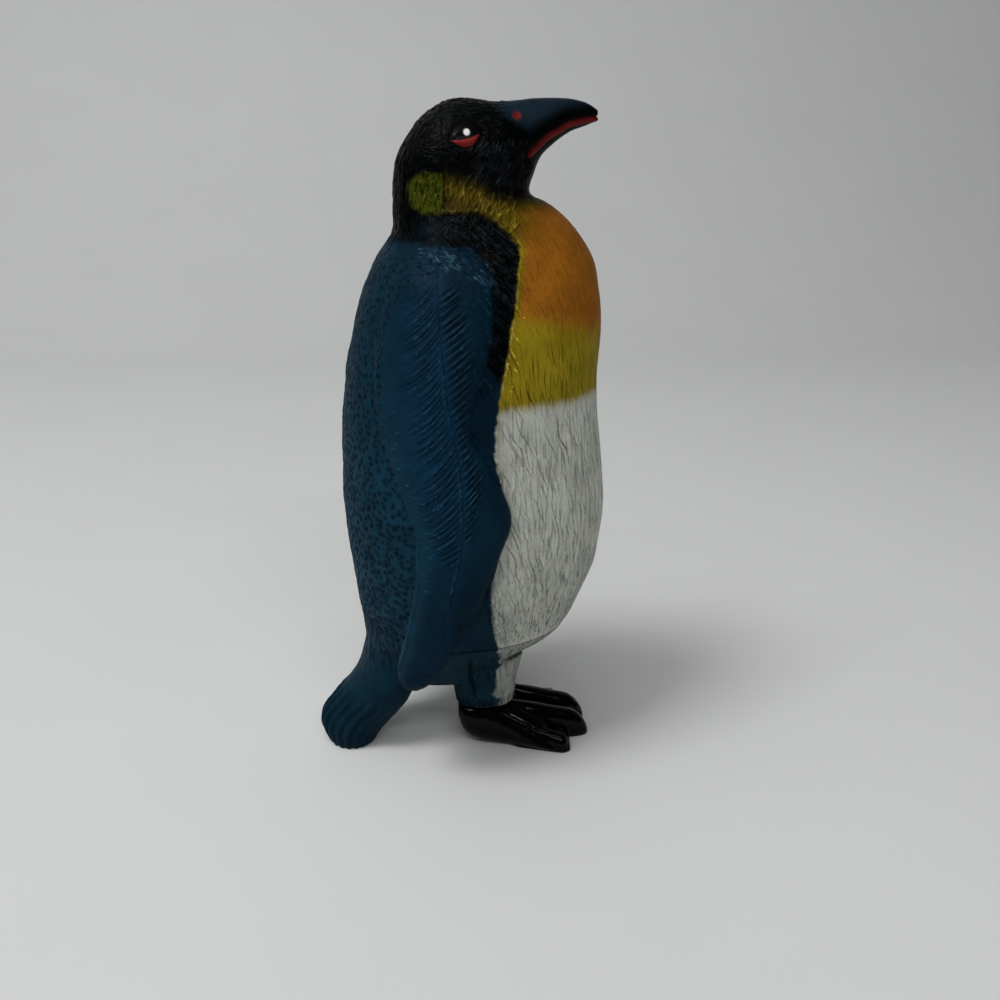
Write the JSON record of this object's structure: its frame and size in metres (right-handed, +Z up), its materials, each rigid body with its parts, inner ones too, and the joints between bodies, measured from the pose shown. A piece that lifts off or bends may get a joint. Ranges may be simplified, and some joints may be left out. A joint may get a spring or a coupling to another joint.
{
  "type": "penguin figurine",
  "caption": "Standing king penguin toy figure: hollow glued body shells with moulded flippers, bill and tail, a plug-in leg unit and glossy webbed feet, resting on its soles and tail.",
  "frame": {"origin": "on the surface it stands on, under the middle of the figure's box", "axes": "+Z up, the bird faces -Y and its right flipper is at -X"},
  "size_m": [0.0588, 0.0698, 0.1505],
  "materials": {
    "front_paint": "satin painted vinyl",
    "rear_paint": "satin painted vinyl",
    "leg_paint": "satin painted vinyl",
    "foot_gloss": "gloss"
  },
  "bodies": {
    "root": {"front_shell": "front_paint", "rear_shell": "rear_paint", "leg_unit": "leg_paint", "right_foot": "foot_gloss", "left_foot": "foot_gloss"}
  },
  "joints": []
}
